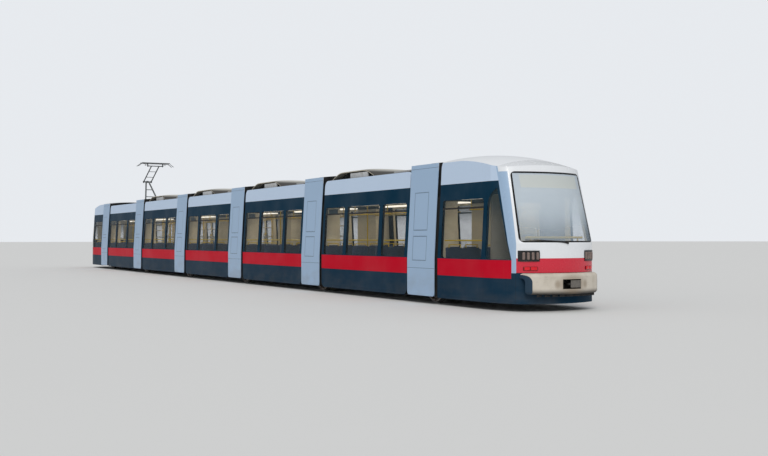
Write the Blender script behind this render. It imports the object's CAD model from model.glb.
from math import atan2, cos, pi, radians, sin, sqrt, tan

import bmesh
import bpy
from mathutils import Matrix, Vector
from mathutils.bvhtree import BVHTree


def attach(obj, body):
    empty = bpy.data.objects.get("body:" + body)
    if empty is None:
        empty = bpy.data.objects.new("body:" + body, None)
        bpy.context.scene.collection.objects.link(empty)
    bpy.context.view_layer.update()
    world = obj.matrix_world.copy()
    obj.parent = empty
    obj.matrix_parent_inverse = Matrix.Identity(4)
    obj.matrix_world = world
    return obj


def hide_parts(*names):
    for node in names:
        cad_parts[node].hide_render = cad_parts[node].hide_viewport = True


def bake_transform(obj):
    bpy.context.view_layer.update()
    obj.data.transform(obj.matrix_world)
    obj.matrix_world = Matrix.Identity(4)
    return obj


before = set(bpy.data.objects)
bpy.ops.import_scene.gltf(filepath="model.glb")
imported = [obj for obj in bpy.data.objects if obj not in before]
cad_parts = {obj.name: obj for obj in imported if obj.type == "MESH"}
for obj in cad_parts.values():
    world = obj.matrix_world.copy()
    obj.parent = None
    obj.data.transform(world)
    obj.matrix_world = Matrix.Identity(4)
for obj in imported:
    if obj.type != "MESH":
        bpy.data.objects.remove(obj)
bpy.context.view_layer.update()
scene = bpy.context.scene

# Metres, +X towards the leading end, +Y to the left side, +Z up.

# The row of cars and portals
CARS = 7
PORTALS = 6
PITCH = 5.63
CAR_GAP = 0.6375
MID_HALF = PITCH / 2 - CAR_GAP

# Body section
HALF = 1.165
WAIST = 1.005
CANTRAIL = 3.075
LEAN = 0.12
FLOOR = 0.222
CEILING = 2.315
DECK = 2.625
SKIRT = 0.155
WALL_TILT = atan2(LEAN, CANTRAIL - WAIST)

# Paint bands, by height
BAND_RED = 0.645
BAND_GLASS = 1.005
BAND_LIGHT = 2.585
MASK_FOOT = 0.755
MASK_RED_TOP = 1.045

# Windows
SILL = 1.02
WINDOW_TOP = 2.245
TRANSOM = 2.065
WINDOW_RADIUS = 0.06
WINDOWS = [
    # side, start and end from the middle of the car
    (1, -2.065, -0.985),
    (1, -0.815, 0.815),
    (1, 0.985, 2.065),
    (-1, -2.065, -0.985),
    (-1, 0.985, 2.065),
]
END_WINDOW = (0.76, 2.24)
DOOR_HALF = 0.66
DOOR_TOP = 2.225
DOOR_FRAME = 0.075
END_DOOR = (1.25, 2.03)

# Ends, measured from the middle of the last portal
PILLAR_FOOT = 3.13
SCREEN_LEAN = 0.29
SCREEN_BOTTOM = 1.355
SCREEN_TOP = 2.765
SCREEN_HALF = 0.93
SCREEN_TAPER = 0.06
CLUSTER_Z = 1.09
MARKER_Z = 0.845
POCKET_Z = 0.545

# Cladding of the portals
PANEL_PLANE = 1.2
PANEL_HALF = 0.5575
PANEL_FOOT = 0.174

# Roof gear of the middle cars, from the middle of the car
GEAR_HALF = 0.76
GEAR_RISE = 0.06
HOOD = (-0.38, 2.12)
HOOD_TOP = 3.175
HOOD_END = 2.885
LOW_GEAR = (-1.95, -0.52)
LOW_TOP = 3.005

# Wheels, and the radii between which the web turns into the tread
AXLE_Z = 0.365
TREAD = (0.32, 0.335)

ENDS = [
    # name, car number, way it points
    ("rear", 1, -1),
    ("front", CARS, 1),
]


def car_x(number):
    return (number - (CARS + 1) / 2) * PITCH


def portal_x(number):
    return (number - (PORTALS + 1) / 2) * PITCH


def end_way(number):
    """-1 for the rear end car, 1 for the front one and 0 for the cars between them."""
    return {1: -1, CARS: 1}.get(number, 0)


def end_x(way):
    return portal_x(1 if way < 0 else PORTALS)


def past(way, distance):
    """Place along the tram, at a distance past the last portal of an end."""
    return end_x(way) + way * distance


def end_span(way, distances):
    """Start and end of a stretch past the last portal."""
    return tuple(sorted(past(way, distance) for distance in distances))


# ---------------------------------------------------------------- finishes


class Value:
    """A socket in a finish. An expression on it adds Math nodes; | takes the greater of two."""

    def __init__(self, finish, socket):
        self.finish = finish
        self.socket = socket

    def math(self, operation, *values):
        return self.finish.math(operation, self, *values)

    def __add__(self, other):
        return self.math("ADD", other)

    def __sub__(self, other):
        return self.math("SUBTRACT", other)

    def __rsub__(self, other):
        return self.finish.math("SUBTRACT", other, self)

    def __mul__(self, other):
        return self.math("MULTIPLY", other)

    def __truediv__(self, other):
        return self.math("DIVIDE", other)

    def __gt__(self, other):
        return self.math("GREATER_THAN", other)

    def __lt__(self, other):
        return self.math("LESS_THAN", other)

    def __or__(self, other):
        return self.math("MAXIMUM", other)

    def __abs__(self):
        return self.math("ABSOLUTE")

    __radd__, __rmul__ = __add__, __mul__


class Finish:
    """A procedural material, built from expressions on the place of a point."""

    def __init__(self, name, **constants):
        self.material = bpy.data.materials.new(name)
        self.material.use_nodes = True
        self.tree = self.material.node_tree
        self.surface = self.tree.nodes["Principled BSDF"]
        for socket, value in constants.items():
            self.surface.inputs[socket.replace("_", " ")].default_value = value
        self.place = self.node("TexCoord", {}, {}, "Object")
        self.x, self.y, self.z = self.split(self.place)
        self.reach = abs(self.y)

    def node(self, kind, settings, sockets, output=0):
        """Adds a node: its settings first, then values or links for its sockets."""
        made = self.tree.nodes.new("ShaderNode" + kind)
        for name, value in settings.items():
            setattr(made, name, value)
        for name, value in sockets.items():
            if isinstance(value, Value):
                self.tree.links.new(value.socket, made.inputs[name])
            elif isinstance(value, tuple) and kind == "Mix":
                made.inputs[name].default_value = (*value, 1.0)
            else:
                made.inputs[name].default_value = value
        return Value(self, made.outputs[output])

    def split(self, vector):
        """Three values of a vector."""
        x = self.node("SeparateXYZ", {}, {"Vector": vector}, "X")
        outputs = x.socket.node.outputs
        return x, Value(self, outputs["Y"]), Value(self, outputs["Z"])

    def facing(self):
        """Object-space normal as three values."""
        return self.split(self.node("TexCoord", {}, {}, "Normal"))

    def math(self, operation, *values):
        return self.node("Math", {"operation": operation}, dict(enumerate(values)))

    def set(self, **sockets):
        """Links values to the sockets of the surface."""
        for socket, value in sockets.items():
            self.tree.links.new(value.socket, self.surface.inputs[socket.replace("_", " ")])

    def mix(self, factor, first, second):
        """Colour that turns from first to second as factor goes from 0 to 1."""
        return self.node("Mix", {"data_type": "RGBA"}, {0: factor, 6: first, 7: second}, 2)

    def pick(self, factor, first, second):
        """Number that turns from first to second as factor goes from 0 to 1."""
        return self.node("Mix", {}, {0: factor, 2: first, 3: second})

    def noise(self, scale, detail=2.0, stretch=(1.0, 1.0, 1.0)):
        """Cloudy value from 0 to 1, stretched along the axes."""
        spread = self.node("Mapping", {}, {"Vector": self.place, "Scale": stretch})
        return self.node("TexNoise", {}, {"Vector": spread, "Scale": scale, "Detail": detail}, "Fac")

    def ramp(self, value, low, high):
        """0 below low, 1 above high, and smooth between them."""
        settings = {"interpolation_type": "SMOOTHSTEP"}
        return self.node("MapRange", settings, {"Value": value, 1: low, 2: high})

    def slope(self, value, low, high):
        """0 below low, 1 above high, and straight between them."""
        return self.node("MapRange", {}, {"Value": value, 1: low, 2: high})

    def line(self, value, middle, width):
        """1 within half a width of the middle, else 0."""
        return abs(value - middle) < width / 2

    def between(self, value, low, high):
        """1 between two bounds, else 0."""
        return (value > low) * (value < high)

    def bump(self, height, depth, strength=1.0):
        sockets = {"Height": height, "Distance": depth, "Strength": strength}
        self.set(Normal=self.node("Bump", {}, sockets, "Normal"))

    def from_car(self):
        """Place along the tram from the middle of the middle car it is on."""
        return self.x - (self.x / PITCH + 0.5).math("FLOOR") * PITCH

    def from_portal(self):
        """Place along the tram from the middle of the portal it is on."""
        return self.x - (self.x / PITCH).math("FLOOR") * PITCH - PITCH / 2

    def past_portal(self):
        """Distance past the last portal, towards either end."""
        return abs(self.x) - end_x(1)

    def wall(self, foot):
        """Half width of the body at the height of the point, from its half width at the foot."""
        return foot - LEAN * self.slope(self.z, WAIST, CANTRAIL)

    def screen_half(self):
        """Half width of the windscreen at the height of the point."""
        return SCREEN_HALF - SCREEN_TAPER * self.slope(self.z, SCREEN_BOTTOM, SCREEN_TOP)


def srgb(red, green, blue):
    """Linear colour from the 0 to 255 values of a screen."""
    shares = [value / 255 for value in (red, green, blue)]
    return tuple(((c + 0.055) / 1.055) ** 2.4 if c > 10 / 255 else c / 12.92 for c in shares)


LIGHT_GREY = srgb(160, 186, 214)
CANTRAIL_GREY = srgb(194, 212, 234)
SHELL_WHITE = srgb(234, 237, 241)
CRIMSON = srgb(196, 0, 36)
MASK_RED = srgb(210, 40, 62)
PETROL = srgb(0, 46, 68)
SKIRT_PETROL = srgb(12, 48, 70)
BLACK = srgb(18, 19, 21)
UNLIT = (0.0, 0.0, 0.0)
DUST = srgb(120, 108, 92)
STAIN = srgb(122, 100, 72)
INSIDE = srgb(226, 214, 186)
INSIDE_FLOOR = srgb(70, 74, 80)
RAIL_YELLOW = srgb(232, 196, 24)
BUMPER_GREY = srgb(208, 200, 187)
SIDE_TINT = srgb(34, 54, 60)
SCREEN_TINT = srgb(196, 214, 230)

# Soft light of the room's lamps on its lining
ROOM_GLOW = 0.1

SKIRT_SEAMS = (-1.06, 0.0, 1.06)
END_SEAMS = (2.3, 3.125)
SEAM_WIDTH = 0.004
# How far from a face a point still counts as on it
SKIN = 0.004


def weather(finish, color, amount):
    """Road dust low on the body and faint runs down the sides."""
    low = 1 - finish.ramp(finish.z, 0.1, 0.95)
    clouds = finish.noise(2.2, 4.0, (1.0, 1.0, 2.0))
    runs = finish.ramp(finish.noise(5.0, 3.0, (5.0, 5.0, 0.35)), 0.55, 0.8) * (finish.z < 2.85)
    soiled = low * finish.ramp(clouds, 0.32, 0.72) * amount + runs * 0.04
    return finish.mix(soiled, color, DUST)


def seam_lines(finish, is_end):
    """1 on the thin joints between the panels of a car's sides, else 0."""
    if is_end:
        along, seams, foot = finish.past_portal(), END_SEAMS, MASK_FOOT
    else:
        along, seams, foot = finish.from_car(), SKIRT_SEAMS, BAND_RED
    upright = finish.line(along, seams[0], SEAM_WIDTH)
    for seam in seams[1:]:
        upright = upright | finish.line(along, seam, SEAM_WIDTH)
    level = finish.line(finish.z, BAND_RED, SEAM_WIDTH) | finish.line(finish.z, BAND_LIGHT, SEAM_WIDTH)
    return (upright * (finish.z < foot) | level) * (finish.reach > 0.85)


def shell_paint(name, is_end):
    """Coat of a car: bands by height outside, trim inside, black below."""
    finish = Finish(name, Coat_Roughness=0.08, Specular_IOR_Level=0.02, Emission_Strength=ROOM_GLOW)
    mix, z, reach = finish.mix, finish.z, finish.reach
    nx, ny, nz = finish.facing()
    half = finish.wall(HALF)
    outward = (ny * finish.y.math("SIGN")) > 0.25
    if is_end:
        s = finish.past_portal()
        outward = outward | ((nx * finish.x.math("SIGN") * (s > END_SEAMS[0])) > 0.25)
        gap_face = s < (CAR_GAP + SKIN)
    else:
        along = finish.from_car()
        gap_face = abs(along) > (MID_HALF - SKIN)
        outward = outward * (reach > (half - 0.03)) | gap_face * (reach > (half - 0.06))
    outward = outward | (z > (CEILING + 0.1))
    unlined = (z < (FLOOR - SKIN)) | gap_face * (abs(nx) > 0.5)

    glass = finish.between(z, BAND_GLASS, BAND_LIGHT)
    light = z > BAND_LIGHT
    white = z > (CANTRAIL - 0.012)
    coat = mix(finish.between(z, BAND_RED, BAND_GLASS), SKIRT_PETROL, CRIMSON)
    coat = mix(glass, coat, PETROL)
    coat = mix(light, coat, CANTRAIL_GREY)
    if is_end:
        white = (nz > 0.4) * (z > 2.6) | white
    coat = mix(white, coat, SHELL_WHITE)
    if is_end:
        # The pale pillar before the mask runs down to the foot of the red band
        pillar = s + SCREEN_LEAN * ((z - WAIST) | 0.0) - PILLAR_FOOT
        edge = finish.slope(z, WAIST, BAND_LIGHT) * 0.055 - 0.09
        coat = mix((pillar > edge) * (z > MASK_FOOT) * (nz < 0.4), coat, LIGHT_GREY)
        coat = mix((s > (PILLAR_FOOT - 0.1)) * (z < MASK_FOOT), coat, SKIRT_PETROL)
    else:
        on_deck = (z > (DECK - 0.005)) * (reach < (GEAR_HALF + 0.1))
        shell = (along > (HOOD[0] - 0.05)) * (nz > 0.25) * (z > (DECK + 0.05))
        coat = mix(on_deck, coat, mix(shell, srgb(54, 56, 58), srgb(212, 211, 204)))
    coat = mix(seam_lines(finish, is_end) * 0.75, coat, BLACK)
    coat = mix(finish.ramp(finish.noise(0.9, 3.0), 0.3, 0.9) * 0.03, coat, (0.9, 0.9, 0.92))
    coat = weather(finish, coat, 0.12)

    under_foot = (nz > 0.5) * (z < 0.3)
    speckle = finish.ramp(finish.noise(90.0, 1.0), 0.55, 0.7)
    lining = mix(under_foot, INSIDE, INSIDE_FLOOR)
    lining = mix(speckle * under_foot, lining, (0.16, 0.17, 0.19))
    reveal = (abs(ny) < 0.3) * (reach > (half - 0.075))
    lining = mix(reveal | unlined, lining, BLACK)
    gloss = 0.26 + finish.noise(14.0, 3.0) * 0.18 - glass * (1 - light) * 0.14
    finish.set(
        Base_Color=mix(outward, lining, coat),
        Emission_Color=mix(outward, lining, UNLIT),
        Roughness=finish.pick(outward, 0.6, gloss),
        Coat_Weight=outward * 0.03,
    )
    finish.bump(finish.noise(1.4, 2.0), 0.004, 0.35)
    return finish.material


def safety_glass(name, is_end):
    """Tinted side panes with a faint film of dust, and a paler windscreen in a black border."""
    finish = Finish(name, IOR=1.5)
    mix, z, reach = finish.mix, finish.z, finish.reach
    film = finish.ramp(finish.noise(3.0, 5.0, (1.0, 1.0, 2.0)), 0.45, 0.8)
    tint = mix(film * 0.1, SIDE_TINT, srgb(150, 150, 148))
    alpha = film * 0.05 + finish.ramp(z, 1.7, 2.3) * 0.25 + 0.19
    if is_end:
        screen = (reach < 0.97) * (z > 1.3) * (finish.past_portal() > 2.35)
        border = ((finish.screen_half() - reach) < 0.035) | ((z - SCREEN_BOTTOM) < 0.03)
        border = (border | ((SCREEN_TOP - z) < 0.035)) * screen
        sky = finish.ramp(z + finish.noise(0.8, 2.0) * 0.6, 1.6, 2.6)
        pale = mix(sky * 0.7, SCREEN_TINT, srgb(226, 236, 244))
        display = (reach < 0.72) * finish.between(z, 2.44, 2.7)
        pale = mix(display * 0.6, pale, srgb(224, 226, 216))
        tint = mix(border, mix(screen, tint, pale), BLACK)
        alpha = finish.pick(screen, alpha, sky * 0.42 + 0.2) | display * screen * 0.7 | border
    finish.set(Base_Color=tint, Roughness=0.03 + film * 0.05, Alpha=alpha)
    return finish.material


HATCHES = [
    # start, end, foot, top of each hatch, and the height of its lock
    (-0.22, 0.34, 0.95, 1.48, 1.21),
    (-0.22, 0.34, 1.62, 2.45, 2.04),
]


def hatch_dirt(finish):
    """1 along the edges of the hatches, where dirt gathers, else 0."""
    along = finish.from_portal() * finish.y.math("SIGN")
    edges = []
    for start, end, foot, top, _ in HATCHES:
        beside = abs(along - (start + end) / 2) - (end - start) / 2
        above = abs(finish.z - (foot + top) / 2) - (top - foot) / 2
        edges.append(abs(beside | above) < 0.011)
    return edges[0] | edges[1]


def portal_paint(name, is_panel):
    """Grey coat of the portal frames, dark in the seams, inside the wells and below."""
    finish = Finish(name, Coat_Roughness=0.1, Specular_IOR_Level=0.3, Emission_Strength=ROOM_GLOW)
    mix, z, reach = finish.mix, finish.z, finish.reach
    nx, _, nz = finish.facing()
    roof = (nz > 0.25) * (z > 2.9)
    half = finish.wall(PANEL_PLANE)
    if is_panel:
        outside = reach > 1.0
    else:
        outside = (abs(nx) > 0.5) * (reach > (half - 0.03)) | roof
    inside = (reach < 0.6) | (reach < (half - 0.14)) * (z > 0.8)
    inside = inside * finish.between(z, 0.2, 2.25)
    coat = mix(roof, LIGHT_GREY, SHELL_WHITE)
    if is_panel:
        coat = mix(hatch_dirt(finish) * 0.45, coat, srgb(70, 84, 100))
    coat = weather(finish, coat, 0.25)
    lining = mix(inside, BLACK, INSIDE)
    lining = mix(inside * (nz > 0.5), lining, INSIDE_FLOOR)
    finish.set(
        Base_Color=mix(outside, lining, coat),
        Emission_Color=mix(inside * (1 - outside), UNLIT, lining),
        Roughness=finish.pick(outside, 0.65, 0.28 + finish.noise(14.0, 3.0) * 0.16),
        Coat_Weight=outside * 0.06,
    )
    finish.bump(finish.noise(1.4, 2.0), 0.003, 0.3)
    return finish.material


def fittings_trim():
    """Blue seat shells, yellow poles and pale cab walls, told apart by their place."""
    finish = Finish("fittings_trim")
    along = abs(finish.from_car())
    aisle_pole = finish.line(along, 1.34, 0.06) * finish.line(finish.y, 0.23, 0.06)
    door_pole = finish.line(along, 0.76, 0.06) * finish.line(finish.y, -1.0, 0.06)
    in_cab = finish.past_portal() > 2.25
    color = finish.mix((aisle_pole | door_pole) * (1 - in_cab), srgb(52, 66, 92), RAIL_YELLOW)
    color = finish.mix(in_cab, color, srgb(168, 164, 152))
    clouds = finish.noise(5.0, 3.0)
    color = finish.mix(clouds * 0.25, color, srgb(96, 98, 104))
    finish.set(Base_Color=color, Roughness=0.42 + clouds * 0.2)
    finish.bump(finish.noise(240.0, 1.0), 0.0005, 0.4)
    return finish.material


def mask_paint():
    """White end mask with a red band; black lamp clusters, red markers."""
    finish = Finish("mask_paint", Coat_Roughness=0.06, Coat_Weight=0.25, Specular_IOR_Level=0.4)
    mix, z, reach = finish.mix, finish.z, finish.reach
    nx, ny, nz = finish.facing()
    coat = mix(z < MASK_RED_TOP, SHELL_WHITE, MASK_RED)
    flank = (reach > (finish.screen_half() + 0.04)) * (nz < 0.45) * (z < SCREEN_TOP)
    coat = mix(flank, coat, LIGHT_GREY)
    cluster = finish.line(reach, 0.76, 0.384) * finish.line(z, CLUSTER_Z, 0.214)
    marker = finish.line(reach, 0.74, 0.262) * finish.line(z, MARKER_Z, 0.078)
    coat = mix(cluster, coat, BLACK)
    coat = mix(marker, coat, srgb(120, 4, 16))
    coat = mix(z < (MASK_FOOT + 0.009), coat, BLACK)
    inside = ((nx * finish.x.math("SIGN")) < -0.2) | ((ny * finish.y.math("SIGN")) < -0.3)
    inside = inside | (nz < -0.4) * (z > 2.0)
    finish.set(
        Base_Color=mix(inside, weather(finish, coat, 0.15), BLACK),
        Roughness=0.18 + finish.noise(12.0, 3.0) * 0.16,
    )
    finish.bump(finish.noise(1.8, 2.0), 0.003, 0.3)
    return finish.material


def bumper_plastic():
    """Pale plastic of the bumpers, dusty, with rubbed marks, a dark pocket and dark corners."""
    finish = Finish("bumper_plastic")
    mix, ramp, z, reach = finish.mix, finish.ramp, finish.z, finish.reach
    clouds = finish.noise(4.5, 6.0, (1.0, 1.0, 0.7))
    scuffs = finish.noise(24.0, 4.0, (1.0, 0.25, 3.0))
    color = mix(ramp(clouds, 0.42, 0.75) * 0.3, BUMPER_GREY, srgb(150, 138, 118))
    color = mix(ramp(scuffs, 0.62, 0.75) * 0.4, color, srgb(92, 86, 78))
    color = mix(1 - ramp(z, 0.345, 0.47), color, srgb(60, 56, 52))
    rise = z - POCKET_Z
    away = (reach * reach + rise * rise * 3.0).math("SQRT")
    color = mix((1 - ramp(away + clouds * 0.3, 0.3, 0.62)) * 0.55, color, STAIN)
    side_soot = ramp(reach + clouds * 0.2, 0.95, 1.2) * (1 - ramp(z, 0.5, 0.72))
    color = mix(side_soot * 0.6, color, srgb(84, 80, 76))
    pocket = finish.between(finish.past_portal(), 3.4, 3.632) * (reach < 0.26) * (abs(rise) < 0.12)
    color = mix(pocket, color, srgb(34, 32, 30))
    beside = reach - 0.35
    spread = (beside * beside * 2.0 + rise * rise).math("SQRT")
    color = mix((1 - ramp(spread + clouds * 0.05, 0.05, 0.15)) * 0.45, color, STAIN)
    inward, above = (0.98 - reach) | 0.0, (z - 0.58) | 0.0
    corner = (inward * inward + above * above).math("SQRT") < 0.16
    color = mix(corner * (reach > 0.82) * (z < 0.745), color, SKIRT_PETROL)
    finish.set(Base_Color=color, Roughness=0.48 + clouds * 0.25)
    finish.bump(finish.noise(420.0, 1.0), 0.0006, 0.5)
    return finish.material


def plain_finish(name, color, worn, roughness, metallic=0.0, grain=60.0, depth=0.0004):
    """Even finish with cloudy wear and a fine grain."""
    finish = Finish(name, Metallic=metallic)
    clouds = finish.noise(grain / 12, 4.0)
    finish.set(
        Base_Color=finish.mix(finish.ramp(clouds, 0.35, 0.8) * 0.6, color, worn),
        Roughness=roughness - 0.08 + clouds * 0.2,
    )
    finish.bump(finish.noise(grain, 2.0), depth, 0.6)
    return finish.material


def hood_paint():
    """Shell of the roof hoods, pale on top, dark on its slopes and black along its sides."""
    finish = Finish("hood_paint", Specular_IOR_Level=0.3)
    _, _, nz = finish.facing()
    stains = finish.noise(3.0, 4.0, (1.0, 0.4, 1.0))
    color = finish.mix(finish.ramp(stains, 0.4, 0.8) * 0.4, srgb(214, 213, 206), srgb(168, 162, 150))
    low = 1 - finish.ramp(finish.z, HOOD_END + 0.2, HOOD_TOP + 0.04)
    color = finish.mix(low, color, srgb(72, 70, 66))
    color = finish.mix(finish.reach > 0.905, color, BLACK)
    color = finish.mix(nz < 0.2, color, srgb(190, 182, 165))
    finish.set(Base_Color=color, Roughness=0.4 + stains * 0.2)
    finish.bump(finish.noise(40.0, 2.0), 0.0008, 0.4)
    return finish.material


def clear_screen():
    """Clear glass of the screens, with a frosted stripe."""
    finish = Finish("clear_screen", IOR=1.5)
    stripe = finish.line(finish.z, 1.5, 0.06)
    smears = finish.noise(6.0, 3.0)
    finish.set(
        Base_Color=finish.mix(stripe, srgb(150, 168, 170), srgb(224, 228, 226)),
        Alpha=stripe * 0.5 + smears * 0.06 + 0.08,
        Roughness=smears * 0.1 + 0.03,
    )
    return finish.material


def light_band():
    """Opal cover of the lamps along the ceiling, softly lit."""
    finish = Finish("light_band", Roughness=0.4, Emission_Strength=2.6)
    ribs = (finish.x * 400.0).math("SINE") * 0.5 + 0.5
    finish.set(
        Base_Color=finish.mix(ribs * 0.2, srgb(240, 238, 228), srgb(214, 210, 196)),
        Emission_Color=finish.mix(ribs * 0.3, (1.0, 0.94, 0.82), (0.9, 0.84, 0.72)),
    )
    finish.bump(ribs, 0.0006, 0.6)
    return finish.material


def wheel_steel():
    """Turned steel, rusty on the web and bright on the tread."""
    finish = Finish("wheel_steel", Metallic=1.0)
    along, rise = finish.from_portal(), finish.z - AXLE_Z
    radius = (along * along + rise * rise).math("SQRT")
    tread = finish.ramp(radius, *TREAD)
    rust = finish.ramp(finish.noise(16.0, 5.0), 0.35, 0.7) * (1 - tread)
    finish.set(
        Base_Color=finish.mix(rust, srgb(150, 146, 142), srgb(84, 62, 48)),
        Metallic=1 - rust * 0.8,
        Roughness=0.62 - tread * 0.38 + rust * 0.2,
    )
    finish.bump((radius * 900.0).math("SINE"), 0.0003, 0.5)
    return finish.material


PLAIN_FINISHES = {
    # material, colour, worn colour, roughness, metallic, grain and depth of the grain
    "display": ("display_case", srgb(96, 108, 118), srgb(70, 80, 88), 0.3, 0.0, 260.0),
    "rubber": ("black_rubber", srgb(20, 20, 22), srgb(44, 43, 42), 0.62, 0.0, 160.0),
    "bellows": ("bellows_fabric", srgb(26, 27, 29), srgb(52, 50, 48), 0.78, 0.0, 340.0, 0.0008),
    "metal": ("grey_metal", srgb(118, 122, 124), srgb(86, 84, 80), 0.42, 0.6, 80.0),
    "ceramic": ("brown_glaze", srgb(92, 44, 30), srgb(70, 36, 28), 0.2, 0.0, 30.0),
    "dark_plastic": ("dark_plastic", srgb(30, 32, 35), srgb(48, 48, 48), 0.38, 0.0, 260.0),
    "pale_plastic": ("pale_plastic", INSIDE, srgb(176, 166, 144), 0.5, 0.0, 260.0),
    "seat": ("seat_shell", srgb(52, 66, 92), srgb(72, 80, 98), 0.5, 0.0, 240.0, 0.0006),
    "yellow": ("yellow_rail", RAIL_YELLOW, srgb(210, 168, 20), 0.3, 0.0, 90.0),
    "lens": ("lamp_lens", srgb(128, 112, 106), srgb(92, 78, 74), 0.14, 0.0, 120.0, 0.0006),
    "red_lens": ("red_lens", srgb(226, 22, 40), srgb(190, 8, 26), 0.16, 0.0, 220.0, 0.0006),
    "grey_plastic": ("grey_plastic", srgb(110, 106, 100), srgb(84, 80, 76), 0.5, 0.0, 260.0),
    "gear": ("roof_gear_paint", srgb(196, 198, 200), srgb(150, 146, 138), 0.5, 0.1, 120.0),
}

finishes = {
    "car": shell_paint("body_paint", False),
    "end_car": shell_paint("end_body_paint", True),
    "glazing": safety_glass("side_glass", False),
    "end_glazing": safety_glass("end_glass", True),
    "portal": portal_paint("portal_paint", False),
    "panel": portal_paint("portal_panel_paint", True),
    "fittings": fittings_trim(),
    "nose": mask_paint(),
    "bumper": bumper_plastic(),
    "wheel": wheel_steel(),
    "clear": clear_screen(),
    "light_band": light_band(),
    "hood": hood_paint(),
    **{key: plain_finish(*row) for key, row in PLAIN_FINISHES.items()},
}


def repaint(node, finish):
    """Gives a carried-over CAD node its finish."""
    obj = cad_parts[node]
    obj.data.materials.clear()
    obj.data.materials.append(finishes[finish])


for number in range(1, CARS + 1):
    prefix = "end_" if end_way(number) else ""
    repaint(f"car_{number}", prefix + "car")
    repaint(f"glazing_{number}", prefix + "glazing")
    repaint(f"doors_{number}", "car")
    repaint(f"fittings_{number}", "fittings")
for name, _, _ in ENDS:
    repaint(f"nose_{name}", "nose")
    repaint(f"bumper_{name}", "bumper")
for number in range(1, PORTALS + 1):
    repaint(f"portal_{number}", "portal")
    repaint(f"bellows_{number}", "bellows")
    for side_name in ("left", "right"):
        repaint(f"wheel_{number}_{side_name}", "wheel")
for part in ("base", "lower_arm", "upper_arm", "head"):
    repaint(f"pantograph_{part}", "metal")


# ---------------------------------------------------------------- stage

ROOM_LIGHT = 0.56
SEEN_LIGHT = 0.86
GLOSSY_LESS = 0.18


def pale_floor():
    shape = bmesh.new()
    bmesh.ops.create_grid(shape, x_segments=1, y_segments=1, size=400.0)
    mesh = bpy.data.meshes.new("floor")
    shape.to_mesh(mesh)
    shape.free()
    floor = bpy.data.objects.new("floor", mesh)
    scene.collection.objects.link(floor)
    finish = Finish("floor", Roughness=0.9)
    finish.set(Base_Color=finish.mix(finish.noise(0.4, 2.0) * 0.06, (0.78, 0.78, 0.77), (0.7, 0.7, 0.7)))
    mesh.materials.append(finish.material)


def studio_light():
    world = bpy.data.worlds.new("studio")
    scene.world = world
    world.use_nodes = True
    tree = world.node_tree
    rays = tree.nodes.new("ShaderNodeLightPath").outputs

    def math(operation, *inputs):
        made = tree.nodes.new("ShaderNodeMath")
        made.operation = operation
        for socket, value in zip(made.inputs, inputs):
            if isinstance(value, float):
                socket.default_value = value
            else:
                tree.links.new(value, socket)
        return made.outputs[0]

    seen = math("MAXIMUM", rays["Is Camera Ray"], rays["Is Transmission Ray"])
    strength = math("MULTIPLY_ADD", seen, SEEN_LIGHT - ROOM_LIGHT, ROOM_LIGHT)
    # Glossy rays see a darker room, so that paint keeps its colour at a flat angle
    strength = math("MULTIPLY_ADD", rays["Is Glossy Ray"], -GLOSSY_LESS, strength)
    background = tree.nodes["Background"]
    background.inputs["Color"].default_value = (0.93, 0.96, 1.0, 1.0)
    tree.links.new(strength, background.inputs["Strength"])

    key = bpy.data.lights.new("key", "SUN")
    key.energy = 1.35
    key.angle = radians(25)
    key.color = (1.0, 0.97, 0.92)
    lamp = bpy.data.objects.new("key", key)
    lamp.rotation_euler = Vector((-0.62, 0.42, 0.66)).to_track_quat("Z", "Y").to_euler()
    scene.collection.objects.link(lamp)


def photo_camera():
    data = bpy.data.cameras.new("camera")
    data.sensor_width = 36.0
    data.lens = 45.19
    data.clip_end = 500.0
    camera = bpy.data.objects.new("camera", data)
    camera.location = (-32.16, 12.57, 1.43)
    camera.rotation_euler = Vector((0.866, -0.5, 0.011)).to_track_quat("-Z", "Y").to_euler()
    scene.collection.objects.link(camera)
    scene.camera = camera


pale_floor()
studio_light()
photo_camera()
scene.view_settings.view_transform = "Standard"


# ---------------------------------------------------------------- shapes

MERGE_DISTANCE = 0.00001
FLAT = Matrix()


def add_piece(name, shape, body, finish, angle=32):
    """Turns a finished shape into a piece that rides on a body."""
    bmesh.ops.remove_doubles(shape, verts=shape.verts, dist=MERGE_DISTANCE)
    bmesh.ops.recalc_face_normals(shape, faces=shape.faces)
    mesh = bpy.data.meshes.new(name)
    shape.to_mesh(mesh)
    shape.free()
    mesh.shade_smooth()
    mesh.set_sharp_from_angle(angle=radians(angle))
    obj = bpy.data.objects.new(name, mesh)
    scene.collection.objects.link(obj)
    mesh.materials.append(finishes[finish])
    if body:
        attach(obj, body)
    return obj


def join(shape, other):
    """Adds another shape to a shape and frees it."""
    mesh = bpy.data.meshes.new("joined")
    other.to_mesh(mesh)
    other.free()
    shape.from_mesh(mesh)
    bpy.data.meshes.remove(mesh)


def round_off(shape, geom, radius, segments, affect="EDGES"):
    """Rounds edges or corners of a shape."""
    return bmesh.ops.bevel(
        shape, geom=geom, offset=radius, segments=segments, profile=0.5, affect=affect, material=-1
    )


def add_block(shape, center, size, bevel=0.0, turn=FLAT, segments=2):
    """Box with rounded edges, added to a shape."""
    place = Matrix.Translation(center) @ turn @ Matrix.Diagonal((*size, 1.0))
    made = bmesh.ops.create_cube(shape, size=1.0, matrix=place)["verts"]
    if bevel > 0:
        round_off(shape, list({edge for vert in made for edge in vert.link_edges}), bevel, segments)


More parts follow.
